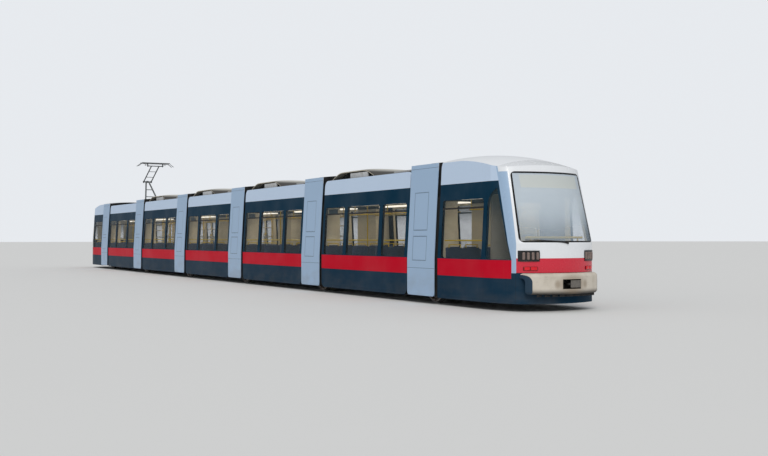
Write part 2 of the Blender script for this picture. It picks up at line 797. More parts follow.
def add_tube(shape, start, end, radius, sides=12, end_radius=None):
    """Round bar between two points, added to a shape."""
    start, end = Vector(start), Vector(end)
    turn = (end - start).to_track_quat("Z", "Y").to_matrix().to_4x4()
    bmesh.ops.create_cone(
        shape,
        cap_ends=True,
        segments=sides,
        radius1=radius,
        radius2=radius if end_radius is None else end_radius,
        depth=(end - start).length,
        matrix=Matrix.Translation((start + end) / 2) @ turn,
    )


def add_ball(shape, center, radius):
    bmesh.ops.create_icosphere(shape, subdivisions=2, radius=radius, matrix=Matrix.Translation(center))


def add_rail(shape, points, radius, sides=12):
    """Bent rail through points, with ball joints at its bends."""
    for start, end in zip(points, points[1:]):
        add_tube(shape, start, end, radius, sides)
    for point in points[1:-1]:
        add_ball(shape, point, radius * 1.02)


def add_turned(shape, outline, center, steps=28):
    """Solid of revolution about an upright axis, from an outline of radius and height."""
    turned = bmesh.new()
    verts = [turned.verts.new((radius, 0.0, height)) for radius, height in outline]
    edges = [turned.edges.new((a, b)) for a, b in zip(verts, verts[1:])]
    bmesh.ops.spin(
        turned,
        geom=verts + edges,
        cent=(0, 0, 0),
        axis=(0, 0, 1),
        angle=2 * pi,
        steps=steps,
        use_merge=True,
        use_duplicate=False,
    )
    bmesh.ops.remove_doubles(turned, verts=turned.verts, dist=MERGE_DISTANCE)
    bmesh.ops.translate(turned, verts=turned.verts, vec=center)
    join(shape, turned)


def wall_axes(side):
    """Directions up along the leaning wall of a side and out of it."""
    up = Vector((0, -side * sin(WALL_TILT), cos(WALL_TILT)))
    out = Vector((0, side * cos(WALL_TILT), sin(WALL_TILT)))
    return up, out


def wall_place(side, proud=0.0):
    """From a drawing's x, height above the waist and depth to the leaning side wall."""
    up, out = wall_axes(side)
    turn = Matrix((Vector((1, 0, 0)), up, out)).transposed().to_4x4()
    return Matrix.Translation(Vector((0, side * HALF, WAIST)) + out * proud) @ turn


def drawn_height(z):
    """Height on a drawing of a side wall that is folded at the waist."""
    return (z - WAIST) / cos(WALL_TILT) if z > WAIST else z - WAIST


def wall_half(z, half=HALF):
    """Half width of a side at a height."""
    return half - LEAN * max(0.0, z - WAIST) / (CANTRAIL - WAIST)


def rounded_face(shape, x0, x1, bottom, top, place, radius=0.0, foot_radius=None):
    """Flat face on a drawing, its corners rounded, those at the foot by a radius of their own."""
    center = Matrix.Translation(((x0 + x1) / 2, (bottom + top) / 2, 0))
    size = Matrix.Diagonal(((x1 - x0) / 2, (top - bottom) / 2, 1, 1))
    corners = bmesh.ops.create_grid(
        shape, x_segments=1, y_segments=1, size=1.0, matrix=place @ center @ size
    )["verts"]
    up = place.to_3x3() @ Vector((0, 1, 0))
    corners.sort(key=lambda corner: corner.co.dot(up))
    face = corners[0].link_faces[0]
    foot_radius = radius if foot_radius is None else foot_radius
    for pair, rounding in ((corners[:2], foot_radius), (corners[2:], radius)):
        if rounding > 0:
            made = round_off(shape, pair, rounding, 4, "VERTICES")["verts"]
            around = {face for vert in made for face in vert.link_faces}
            face = max(around, key=lambda face: face.calc_area())
    return face


def raise_faces(shape, faces, vector):
    """Gives faces a thickness along a vector, keeping the faces they start from."""
    bmesh.ops.duplicate(shape, geom=faces)
    grown = bmesh.ops.extrude_face_region(shape, geom=faces)["geom"]
    verts = [item for item in grown if isinstance(item, bmesh.types.BMVert)]
    bmesh.ops.translate(shape, verts=verts, vec=vector)


def raise_from(place, shape, faces, thickness):
    """Gives faces on a drawing a thickness, out of the drawing."""
    out = (place.to_3x3() @ Vector((0, 0, 1))).normalized()
    raise_faces(shape, faces, out * thickness)


def add_panel(shape, outline, depth, holes=()):
    """Plate on a flat drawing. Outline and holes: start, end, foot, top and the radii of a face."""
    edges = []
    for start, end, foot, top, *radii in (outline, *holes):
        face = rounded_face(shape, start, end, foot, top, FLAT, *radii)
        edges += face.edges
        bmesh.ops.delete(shape, geom=[face], context="FACES_ONLY")
    filled = bmesh.ops.triangle_fill(shape, use_beauty=True, edges=edges)["geom"]
    faces = [item for item in filled if isinstance(item, bmesh.types.BMFace)]
    raise_faces(shape, faces, (0, 0, depth))


def add_plate(shape, x0, x1, bottom, top, thickness, place):
    """Plate with sharp corners, lying on a drawing."""
    raise_from(place, shape, [rounded_face(shape, x0, x1, bottom, top, place)], thickness)


def add_ring(shape, x0, x1, bottom, top, radius, width, thickness, place):
    """Flat frame with rounded corners: its outer edge, how wide and how thick it is."""
    face = rounded_face(shape, x0, x1, bottom, top, place, radius)
    rim = bmesh.ops.inset_region(shape, faces=[face], thickness=width, use_even_offset=True)["faces"]
    bmesh.ops.delete(shape, geom=[face], context="FACES")
    raise_from(place, shape, rim, thickness)


def fold_on(shape, drawing, side, half, base=0.0):
    """Folds a flat drawing of x, height and depth onto a side wall, and adds it to a shape."""
    everything = drawing.verts[:] + drawing.edges[:] + drawing.faces[:]
    bmesh.ops.bisect_plane(drawing, geom=everything, plane_co=(0, 0, 0), plane_no=(0, 1, 0), dist=1e-6)
    up, out = wall_axes(side)
    root = Vector((base, side * half, WAIST))
    for vert in drawing.verts:
        x, height, depth = vert.co
        if height > 0:
            vert.co = root + Vector((x, 0, 0)) + up * height + out * depth
        else:
            vert.co = root + Vector((x, side * depth, height))
    join(shape, drawing)


def side_windows(number):
    """Side, start and end of each plain window of a car."""
    way, middle = end_way(number), car_x(number)
    if way:
        return [(1, *end_span(way, END_WINDOW))]
    return [(side, middle + a, middle + b) for side, a, b in WINDOWS]


def doorways(number):
    """Start and end of each door leaf of a car, on the right side."""
    way, middle = end_way(number), car_x(number)
    if way:
        return [end_span(way, END_DOOR)]
    return [(middle - DOOR_HALF, middle), (middle, middle + DOOR_HALF)]


def car_span(number, distances, margin):
    """Start and end of a stretch of a car: past the last portal, or within a middle car's ends."""
    way, middle = end_way(number), car_x(number)
    if way:
        return end_span(way, distances)
    return middle - MID_HALF + margin, middle + MID_HALF - margin


# Rubber seals and transoms of the side windows
SEAL_LAP = 0.012
SEAL_WIDTH = 0.026
SEAL_PROUD = -0.006
TRANSOM_HALF = 0.018
TRANSOM_DEPTH = 0.008
for number in range(1, CARS + 1):
    shape = bmesh.new()
    foot, top = drawn_height(SILL) - SEAL_LAP, drawn_height(WINDOW_TOP) + SEAL_LAP
    bar = drawn_height(TRANSOM)
    for side, start, end in side_windows(number):
        place = wall_place(side, SEAL_PROUD)
        left, right, radius = start - SEAL_LAP, end + SEAL_LAP, WINDOW_RADIUS + SEAL_LAP
        add_ring(shape, left, right, foot, top, radius, SEAL_WIDTH, 0.009, place)
        add_plate(shape, start, end, bar - TRANSOM_HALF, bar + TRANSOM_HALF, TRANSOM_DEPTH, place)
    top = drawn_height(DOOR_TOP - 2 * DOOR_FRAME) + 0.006
    for start, end in doorways(number):
        left, right = start + DOOR_FRAME - 0.004, end - DOOR_FRAME + 0.004
        add_ring(shape, left, right, drawn_height(WAIST), top, 0.03, 0.02, 0.008, wall_place(-1, SEAL_PROUD))
    add_piece(f"window_seals_{number}", shape, f"car_body_{number}", "rubber")


# ---------------------------------------------------------------- portal cladding

PANEL_DEPTH = 0.008
PANEL_SEAM = 0.006
SKIRT_SEAM = 0.78
CANTRAIL_SEAM = 2.985
FOOT_RADIUS = 0.07
HATCH_RADIUS = 0.03
# Start, end, foot and top of the strap between the hatches
STRAP = (-0.22, 0.34, 1.482, 1.618)
STRAP_RADIUS = 0.01
FOOT_BOLTS = (-0.2, 0.2)
FOOT_BOLT_Z = 0.70
# Depth at which locks, hinges and bolts start, and how thick they are
STUD_DEPTH = PANEL_DEPTH - 0.006
STUD = 0.0058
HINGE_STUD = 0.0056


def portal_frame(number):
    """The portal's own shape, its outer skin set back by the depth of the panels."""
    shape = bmesh.new()
    shape.from_mesh(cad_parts[f"portal_{number}"].data)
    bmesh.ops.remove_doubles(shape, verts=shape.verts, dist=MERGE_DISTANCE)
    for vert in shape.verts:
        if abs(vert.co.y) > wall_half(vert.co.z, PANEL_PLANE) - 0.0005 and vert.co.z < CANTRAIL + 0.001:
            vert.co.y -= PANEL_DEPTH if vert.co.y > 0 else -PANEL_DEPTH
    return shape


def add_disc(shape, x, height, depth, radius, thickness, sides=20):
    """Round cap lying on a flat drawing."""
    add_tube(shape, (x, height, depth), (x, height, depth + thickness), radius, sides, radius * 0.9)


def portal_panels(side):
    """Drawing of one side's cladding, with its hatches, locks, hinges and bolts."""
    drawing = bmesh.new()
    gap = PANEL_SEAM / 2
    holes = []

    def add_lid(start, end, low, high, radius, lid_radius, sunk):
        """Hole in the cladding and the lid that fills it."""
        holes.append((start, end, low, high, radius))
        lid = (start + gap, end - gap, low + gap, high - gap, lid_radius)
        add_panel(drawing, lid, PANEL_DEPTH - sunk)

    skirt_top, cantrail = drawn_height(SKIRT_SEAM), drawn_height(CANTRAIL_SEAM)
    outline = (-PANEL_HALF, PANEL_HALF, drawn_height(PANEL_FOOT), skirt_top - gap, 0.0, FOOT_RADIUS)
    add_panel(drawing, outline, PANEL_DEPTH)
    for start, end, foot, top, lock in HATCHES:
        low, high = drawn_height(foot), drawn_height(top)
        add_lid(start, end, low, high, HATCH_RADIUS, HATCH_RADIUS - gap, 0.0006)
        add_disc(drawing, end - 0.05, drawn_height(lock), STUD_DEPTH, 0.016, STUD)
        for hinge in (low + 0.09, high - 0.09):
            for inset in (0.035, 0.075):
                add_disc(drawing, start + inset, hinge, STUD_DEPTH, 0.007, HINGE_STUD, 12)
    start, end, foot, top = STRAP
    low, high = drawn_height(foot) + 0.006, drawn_height(top) - 0.006
    add_lid(start, end, low, high, STRAP_RADIUS, STRAP_RADIUS, 0.0012)
    add_panel(drawing, (-PANEL_HALF, PANEL_HALF, skirt_top + gap, cantrail - gap), PANEL_DEPTH, holes)
    add_panel(drawing, (-PANEL_HALF, PANEL_HALF, cantrail + gap, drawn_height(CANTRAIL)), PANEL_DEPTH)
    for x in FOOT_BOLTS:
        add_disc(drawing, x, drawn_height(FOOT_BOLT_Z), STUD_DEPTH, 0.012, STUD)
    for vert in drawing.verts:
        vert.co.x *= -side
        vert.co.z -= PANEL_DEPTH
    return drawing


for number in range(1, PORTALS + 1):
    panels = bmesh.new()
    for side in (-1, 1):
        fold_on(panels, portal_panels(-side), side, PANEL_PLANE, portal_x(number))
    for name, shape, finish in (("frame", portal_frame(number), "portal"), ("panels", panels, "panel")):
        piece = add_piece(f"portal_{name}_{number}", shape, f"portal_body_{number}", finish)
        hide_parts(f"portal_{number}")


# ---------------------------------------------------------------- gangways

BELLOWS_HALF = 1.105
BELLOWS_FOOT = 0.19
BELLOWS_TOP = 2.36
BELLOWS_WALL = 0.003
PLEATS = 9
PLEAT_DEPTH = 0.022
BELLOWS_CORNER = 0.03
BELLOWS_FLARE = 0.045
PORTAL_CORE = 0.62
CORE_SLOPE = tan(radians(9.0))


def bellows_profile(depth):
    """Section of a bellows as y and z, drawn in by a depth."""
    half = BELLOWS_HALF - depth
    foot, top = BELLOWS_FOOT + depth, BELLOWS_TOP - depth
    shoulder = half + wall_half(top) - HALF
    side = [(half, foot), (half, WAIST), (shoulder, top - BELLOWS_CORNER), (shoulder - BELLOWS_CORNER, top)]
    return side + [(-y, z) for y, z in reversed(side)]


def bellows(number, way):
    """Pleated ring between a portal and the car beside it."""
    shape = bmesh.new()
    base = portal_x(number)
    steps = 2 * PLEATS
    rings = []
    for step in range(steps + 1):
        share = step / steps
        # The last fold spreads onto the end face of the car
        depth = -BELLOWS_FLARE if step == steps else PLEAT_DEPTH * (step % 2)
        ring = []
        for y, z in bellows_profile(depth):
            start = PORTAL_CORE - CORE_SLOPE * abs(y) + 0.004
            x = base + way * (start + share * (CAR_GAP - start))
            ring.append(shape.verts.new((x, y, z)))
        rings.append([shape.edges.new((a, b)) for a, b in zip(ring, ring[1:] + ring[:1])])
    for first, second in zip(rings, rings[1:]):
        bmesh.ops.bridge_loops(shape, edges=first + second)
    bmesh.ops.solidify(shape, geom=list(shape.faces), thickness=BELLOWS_WALL)
    side_name = "front" if way > 0 else "rear"
    piece = add_piece(f"bellows_{number}_{side_name}", shape, None, "bellows", 20)
    edge = PORTAL_CORE - CORE_SLOPE * BELLOWS_HALF
    start = (base + way * edge, 0, 1.2)
    end = (base + way * CAR_GAP, 0, 1.2)
    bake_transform(piece)
    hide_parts(f"bellows_{number}")


for number in range(1, PORTALS + 1):
    bellows(number, -1)
    bellows(number, 1)


# ---------------------------------------------------------------- inside, seen through the glass

ROOM = (0.66, 2.24)
RAIL_Z = 1.39
RAIL_Y = 1.045
RAIL_RADIUS = 0.015
HANGER_RADIUS = 0.011
CEILING_RAIL = (2.06, 0.40)
LIGHT_BAND = (2.295, 0.62)
# Reach of the lining of the walls, where seats and screens end
LINING = 1.08
BENCHES = [
    # middle of the seat from the middle of the car, side, way it faces
    (-1.90, 1, 1),
    (-0.78, 1, -1),
    (0.78, 1, 1),
    (1.90, 1, -1),
    (-1.90, -1, 1),
    (1.90, -1, -1),
]
END_BENCHES = [(1.05, 1, 1), (1.95, 1, -1)]
SEAT_TOP = 0.672
SEAT_SIZE = 0.43
SEAT_PITCH = 0.44
BACK_TOP = 1.212
BACK_INSET = SEAT_SIZE / 2 - 0.02
SIDE_DISPLAY = (1.80, 2.13)
SCREEN_X = 0.73
SCREEN_REACH = 0.42
SCREEN_Y = SCREEN_REACH / 2 - LINING
SCREEN_FRAME = [
    # height of the middle, then thickness, reach and height of the foot and the top rail
    (0.72, (0.024, SCREEN_REACH, 0.94)),
    (1.815, (0.022, SCREEN_REACH, 0.03)),
]
SCREEN_PANE = (1.5, (0.008, SCREEN_REACH - 0.02, 0.6))


def add_seat(shape, x, y, facing):
    """Moulded shell: a dished cushion and a curved back over the CAD bench."""
    add_block(shape, (x, y, SEAT_TOP + 0.012), (SEAT_SIZE, SEAT_SIZE, 0.05), 0.022, FLAT, 3)
    lean = Matrix.Rotation(-facing * radians(7), 4, "Y")
    back = x - facing * BACK_INSET
    middle = (SEAT_TOP + BACK_TOP) / 2 + 0.03
    add_block(shape, (back, y, middle), (0.055, SEAT_SIZE, BACK_TOP - SEAT_TOP), 0.024, lean, 3)
    add_block(shape, (back - facing * 0.02, y, BACK_TOP + 0.02), (0.03, SEAT_SIZE * 0.8, 0.05), 0.012, lean)


def bench_places(number):
    """Middle of each seat shell of a car, and the way it faces."""
    way = end_way(number)
    if way:
        table = [(past(way, s), side, way * facing) for s, side, facing in END_BENCHES]
    else:
        table = [(car_x(number) + x, side, facing) for x, side, facing in BENCHES]
    places = []
    for x, side, facing in table:
        for seat in range(2 if side > 0 else 1):
            places.append((x, side * (LINING - SEAT_PITCH / 2 - seat * SEAT_PITCH), facing))
    return places


def screen_places(number):
    """Place along the tram of each screen beside the doors of a car."""
    way = end_way(number)
    if way:
        return [past(way, END_DOOR[0] - 0.07)]
    return [car_x(number) + sign * SCREEN_X for sign in (-1, 1)]


for number in range(1, CARS + 1):
    body = f"car_body_{number}"
    seats = bmesh.new()
    grips = bmesh.new()
    for x, y, facing in bench_places(number):
        add_seat(seats, x, y, facing)
        back = x - facing * BACK_INSET
        ends = [(back, y + 0.15, BACK_TOP + 0.02), (back, y - 0.15, BACK_TOP + 0.02)]
        top = [(x, y, BACK_TOP + 0.085) for x, y, _ in ends]
        add_rail(grips, [ends[0], top[0], top[1], ends[1]], 0.011, 10)
    add_piece(f"seat_shells_{number}", seats, body, "seat", 40)

    start, end = car_span(number, ROOM, 0.03)
    height, reach = CEILING_RAIL
    for side in (-1, 1):
        y = side * reach
        add_tube(grips, (start + 0.1, y, height), (end - 0.1, y, height), RAIL_RADIUS)
        for share in (0.1, 0.5, 0.9):
            x = start + (end - start) * share
            add_tube(grips, (x, y, height), (x, y, CEILING - 0.002), HANGER_RADIUS, 10)
    for side, left, right in side_windows(number):
        points = [
            (left + 0.04, side * (RAIL_Y + 0.04), RAIL_Z),
            (left + 0.06, side * RAIL_Y, RAIL_Z),
            (right - 0.06, side * RAIL_Y, RAIL_Z),
            (right - 0.04, side * (RAIL_Y + 0.04), RAIL_Z),
        ]
        add_rail(grips, points, RAIL_RADIUS)
    add_piece(f"grab_rails_{number}", grips, body, "yellow", 40)

    # Panels beside the doors: a pale foot and top rail, with a glass pane between them
    screens = bmesh.new()
    panes = bmesh.new()
    for x in screen_places(number):
        for z, size in SCREEN_FRAME:
            add_block(screens, (x, SCREEN_Y, z), size, 0.008)
        add_block(panes, (x, SCREEN_Y, SCREEN_PANE[0]), SCREEN_PANE[1], 0.003)
    add_piece(f"screen_panels_{number}", screens, body, "pale_plastic", 40)
    add_piece(f"screen_panes_{number}", panes, body, "clear", 40)

    # Blank display behind the foremost window of the left side
    if not end_way(number):
        case = bmesh.new()
        along, height = SIDE_DISPLAY
        place = (car_x(number) + along, wall_half(height) - 0.1, height)
        add_block(case, place, (0.42, 0.06, 0.15), 0.015)
        add_piece(f"side_display_{number}", case, body, "display", 40)

    # Light bands along the ceiling
    bands = bmesh.new()
    height, reach = LIGHT_BAND
    for side in (-1, 1):
        add_block(bands, ((start + end) / 2, side * reach, height), (end - start - 0.1, 0.14, 0.04), 0.015)
    add_piece(f"light_bands_{number}", bands, body, "light_band", 40)


# ---------------------------------------------------------------- ends

CLUSTER_LAMPS = (0.615, 0.70, 0.785, 0.865)
LAMP = (0.05, 0.058, 0.150)
MARKERS = [
    # middle, then depth, width and height
    (0.682, (0.02, 0.128, 0.064)),
    (0.806, (0.02, 0.108, 0.064)),
]
DISPLAY_BOX = ((2.86, 2.47), (0.16, 1.35, 0.26))
# Place, foot and top of the rail below the windscreen
SCREEN_RAIL = (3.12, 1.22, 1.45)


def surface_of(node):
    """Tree for finding the place and direction of a node's surface."""
    shape = bmesh.new()
    shape.from_mesh(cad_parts[node].data)
    tree = BVHTree.FromBMesh(shape)
    shape.free()
    return tree


def face_at(tree, way, y, z):
    """Place on a surface as seen from beyond an end, and the direction it faces."""
    place, normal, _, _ = tree.ray_cast(Vector((past(way, 6.0), y, z)), Vector((-way, 0, 0)))
    return place, normal


def lifted(tree, way, y, z, lift):
    """Place on a surface as seen from beyond an end, lifted off it."""
    place, normal = face_at(tree, way, y, z)
    return place + normal * lift


def add_lamp(shape, tree, way, y, z, size):
    """Upright rounded lens on the curved mask."""
    place, normal = face_at(tree, way, y, z)
    turn = normal.to_track_quat("X", "Z").to_matrix().to_4x4()
    add_block(shape, place, size, min(size[:2]) * 0.42, turn, 3)


for name, number, way in ENDS:
    body = f"car_body_{number}"
    tree = surface_of(f"nose_{name}")
    lenses = bmesh.new()
    markers = bmesh.new()
    for side in (-1, 1):
        for y in CLUSTER_LAMPS:
            add_lamp(lenses, tree, way, side * y, CLUSTER_Z, LAMP)
        for y, size in MARKERS:
            add_lamp(markers, tree, way, side * y, MARKER_Z, size)
    add_piece(f"lamp_lenses_{name}", lenses, body, "lens")
    add_piece(f"marker_lenses_{name}", markers, body, "red_lens")

    # Box of the destination display, left blank, and the rail below the windscreen
    shape = bmesh.new()
    (along, height), size = DISPLAY_BOX
    add_block(shape, (past(way, along), 0, height), size, 0.02)
    add_piece(f"display_box_{name}", shape, body, "pale_plastic")
    shape = bmesh.new()
    x, foot, top = past(way, SCREEN_RAIL[0]), *SCREEN_RAIL[1:]
    add_tube(shape, (x, -0.72, top), (x, 0.72, top), 0.024, 16)
    for y in (-0.6, 0.6):
        add_tube(shape, (x, y, foot), (x, y, top), 0.016)
    add_piece(f"screen_rail_{name}", shape, body, "yellow")


# ---------------------------------------------------------------- nose and bumper details

WIPER_PIVOT = (-0.05, 1.338)
WIPER_KNEE = (0.3, 1.378)
WIPER_TIP = (0.66, 1.40)
BLADE = (0.1, 0.25, 0.4, 0.55, 0.7, 0.82)
CLUSTER_FRAME = [(0.575, 1.19), (0.945, 1.19), (0.945, 0.99), (0.575, 0.99), (0.575, 1.19)]
COVER_SIZE = (0.025, 0.25, 0.15)
COVER_Y = -0.105
COVER_S = 3.627
LIP_RADIUS = 1.66
LIP_S = 3.565
LIP_Z = 0.325
# Place past the last portal and height of the middle, then size
DESK = ((3.0, 1.02), (0.3, 1.1, 0.06))
DESK_SCREEN = ((2.93, 1.11), (0.04, 0.26, 0.17))
DESK_SCREEN_Y = 0.33
LEVER = (2.9, 0.12)
LEVER_SPAN = (1.03, 1.17)

for name, number, way in ENDS:
    body = f"car_body_{number}"
    mask = surface_of(f"nose_{name}")
    glass = surface_of(f"glazing_{number}")

    # One wiper, parked along the foot of the windscreen
    shape = bmesh.new()
    pivot = lifted(mask, way, *WIPER_PIVOT, 0.02)
    knee = lifted(glass, way, *WIPER_KNEE, 0.022)
    tip = lifted(glass, way, *WIPER_TIP, 0.018)
    add_rail(shape, [pivot, knee, tip], 0.009, 10)
    add_tube(shape, pivot - Vector((way * 0.03, 0, 0)), pivot + Vector((way * 0.008, 0, 0)), 0.02, 16)
    blade = [lifted(glass, way, y, 1.375 + 0.03 * (y / 0.9), 0.006) for y in BLADE]
    add_rail(shape, blade, 0.006, 8)
    add_piece(f"wiper_{name}", shape, body, "rubber", 40)

    # Frame round each lamp cluster, following the curve of the mask
    shape = bmesh.new()
    for side in (-1, 1):
        for (y0, z0), (y1, z1) in zip(CLUSTER_FRAME, CLUSTER_FRAME[1:]):
            steps = 5 if z0 == z1 else 1
            points = []
            for n in range(steps + 1):
                y, z = y0 + (y1 - y0) * n / steps, z0 + (z1 - z0) * n / steps
                points.append(lifted(mask, way, side * y, z, 0.003))
            add_rail(shape, points, 0.007, 8)
    add_piece(f"cluster_frames_{name}", shape, body, "dark_plastic", 40)

    # Grey cover beside the towing eye, with its four bolts
    shape = bmesh.new()
    x = past(way, COVER_S)
    add_block(shape, (x, COVER_Y, POCKET_Z), COVER_SIZE, 0.01, FLAT, 3)
    for y in (-0.2, -0.01):
        for z in (POCKET_Z - 0.05, POCKET_Z + 0.05):
            add_tube(shape, (x, y, z), (x + way * 0.016, y, z), 0.008, 10)
    add_piece(f"pocket_cover_{name}", shape, body, "grey_plastic", 40)

    # Rubber lip under the bumper
    shape = bmesh.new()
    for n in range(-4, 5):
        angle = n * 0.1
        place = (past(way, LIP_S - LIP_RADIUS * (1 - cos(angle))), LIP_RADIUS * sin(angle), LIP_Z)
        turn = Matrix.Rotation(-way * angle, 4, "Z")
        add_block(shape, place, (0.024, LIP_RADIUS * 0.1 + 0.004, 0.05), 0.006, turn)
    add_piece(f"bumper_lip_{name}", shape, body, "rubber", 40)

    # Desk panel, two screens and lever of the cab
    shape = bmesh.new()
    (along, height), size = DESK
    add_block(shape, (past(way, along), 0, height), size, 0.02, Matrix.Rotation(way * 0.25, 4, "Y"), 3)
    (along, height), size = DESK_SCREEN
    turn = Matrix.Rotation(-way * 0.3, 4, "Y")
    for y in (DESK_SCREEN_Y, -DESK_SCREEN_Y):
        add_block(shape, (past(way, along), y, height), size, 0.01, turn)
    x, y, (low, high) = past(way, LEVER[0]), LEVER[1], LEVER_SPAN
    add_tube(shape, (x, y, low), (x, y, high), 0.014, 14)
    add_ball(shape, (x, y, high + 0.01), 0.028)
    add_piece(f"cab_desk_{name}", shape, body, "dark_plastic", 40)


# ---------------------------------------------------------------- underside

UNDERSIDE = (0.75, 2.7)
RIB_DEPTH = 0.014
RIB_PITCH = 0.62
RIB = (0.05, 1.9, RIB_DEPTH)
EDGE_RIB_Y = 0.98
FLOOR_COVER = (0.4, 0.62, 0.008)
COVER_ROWS = (-0.5, 0.5)
BOLT_INSETS = [(dx, dy) for dx in (-0.17, 0.17) for dy in (-0.28, 0.28)]

for number in range(1, CARS + 1):
    body = f"car_body_{number}"
    start, end = car_span(number, UNDERSIDE, 0.1)
    middle = (start + end) / 2
    height = SKIRT - RIB_DEPTH / 2
    count = int((end - start) / RIB_PITCH)
    shape = bmesh.new()
    for n in range(count + 1):
        x = middle + (n - count / 2) * RIB_PITCH
        add_block(shape, (x, 0, height), RIB, 0.004)
    for side in (-1, 1):
        add_block(shape, (middle, side * EDGE_RIB_Y, height), (end - start, 0.06, RIB_DEPTH), 0.004)
    add_piece(f"floor_ribs_{number}", shape, body, "dark_plastic")
    shape = bmesh.new()
    for y in COVER_ROWS:
        for n in range(count):
            x = middle + (n + 0.5 - count / 2) * RIB_PITCH
            add_block(shape, (x, y, SKIRT - 0.004), FLOOR_COVER, 0.003)
            for dx, dy in BOLT_INSETS:
                add_tube(shape, (x + dx, y + dy, SKIRT - 0.013), (x + dx, y + dy, SKIRT - 0.007), 0.012, 6)
    add_piece(f"floor_covers_{number}", shape, body, "metal")


# ---------------------------------------------------------------- doors

BUTTON_Z = 1.12
# Depth and radius of the two discs of a button
BUTTON_DISCS = ((0.0, 0.034), (0.006, 0.022))
HANDLE_SPAN = (0.98, 1.62)

for number in range(1, CARS + 1):
    body = f"car_body_{number}"
    leaves = doorways(number)
    rubbers = bmesh.new()
    fittings = bmesh.new()
    grips = bmesh.new()
    edges = sorted({round(x, 4) for leaf in leaves for x in leaf})
    foot, top = drawn_height(FLOOR + 0.02), drawn_height(DOOR_TOP - 0.02)
    drawing = bmesh.new()
    for x in edges:
        add_panel(drawing, (x - 0.016, x + 0.016, foot, top), 0.01)
    add_panel(drawing, (edges[0], edges[-1], top + 0.004, top + 0.03), 0.008)
    fold_on(rubbers, drawing, -1, HALF - 0.006)
    add_piece(f"door_rubbers_{number}", rubbers, body, "rubber")

    drawing = bmesh.new()
    for start, end in leaves:
        # Button and grip are at the edge where a second leaf meets the first
        edge, inward = (end, -1) if start < edges[1] - 0.01 else (start, 1)
        x = edge + inward * 0.045
        for depth, radius in BUTTON_DISCS:
            add_disc(drawing, x, drawn_height(BUTTON_Z), depth, radius, 0.006, 28)
        add_panel(drawing, (start + 0.05, end - 0.05, foot + 0.02, foot + 0.2, 0.01), 0.002)
        x = edge + inward * 0.06
        points = []
        for z, bend in ((HANDLE_SPAN[0], 0.02), (HANDLE_SPAN[1], -0.02)):
            y = 0.085 - wall_half(z)
            points.append([(x, y - 0.03, z), (x, y, z + bend)])
        add_rail(grips, points[0] + points[1][::-1], 0.014)
    threshold = drawn_height(FLOOR) - 0.03
    add_panel(drawing, (edges[0] - 0.02, edges[-1] + 0.02, threshold - 0.012, threshold), 0.012)
    fold_on(fittings, drawing, -1, HALF - 0.001)
    add_piece(f"door_fittings_{number}", fittings, body, "metal", 40)
    add_piece(f"door_grips_{number}", grips, body, "yellow", 40)


# ---------------------------------------------------------------- roof

CONDUIT_Y = 0.86
CONDUIT_STEP = 0.055
CONDUITS = (0.028, 0.02, 0.014)
CLAMP = (0.03, 0.19, 0.07)
CLAMP_STEP = 0.585
BRACKET = (0.09, 0.03, 0.05)
BRACKET_STEP = 1.2
BRACKET_Z = 2.9
FIN = (0.008, 1.25, 0.045)
FIN_PITCH = 0.05
GRILLE = (0.4, 0.024, 0.2)
GRILLE_Z = 2.83
SLAT_WIDTH = 0.012
SLAT_PITCH = 0.055
# Middle and size of the pale boxes at the edge of the roof
EDGE_BOX = ((0.55, 0.9, 3.03), (0.9, 0.05, 0.15))
COVER_HALF = 0.93
COVER_LIFT = 0.02
COVER_BLEND = 0.04
COVER_DEPTH = 0.02


def hood_height(x):
    """Top of a hood's arch along the car, before its arch across."""
    start, end = HOOD
    middle, chord = (start + end) / 2, end - start
    sag = HOOD_TOP + GEAR_RISE / 2 - HOOD_END
    radius = (chord * chord / 4 + sag * sag) / (2 * sag)
    return HOOD_TOP + GEAR_RISE / 2 - radius + sqrt(radius * radius - (x - middle) ** 2)


def cover_height(x, y):
    """Lower of a hood's two arches, blended where they meet, and a little above the hood."""
    along = hood_height(x)
    across = HOOD_TOP + GEAR_RISE * (0.5 - (y / GEAR_HALF) ** 2)
    near = max(COVER_BLEND - abs(along - across), 0.0) / COVER_BLEND
    return min(along, across) + COVER_LIFT - near ** 2 * COVER_BLEND / 4


def add_hood_cover(shape, middle):
    """Thin shell over a hood, arched along and across, that reaches out to the parapets."""
    start, end = HOOD
    place = Matrix.Translation((middle + (start + end) / 2, 0, 0))
    size = Matrix.Diagonal(((end - start) / 2, COVER_HALF, 1, 1))
    grid = bmesh.ops.create_grid(shape, x_segments=32, y_segments=28, size=1.0, matrix=place @ size)
    for vert in grid["verts"]:
        vert.co.z = cover_height(vert.co.x - middle, vert.co.y)
    raise_faces(shape, shape.faces[:], (0, 0, COVER_DEPTH))


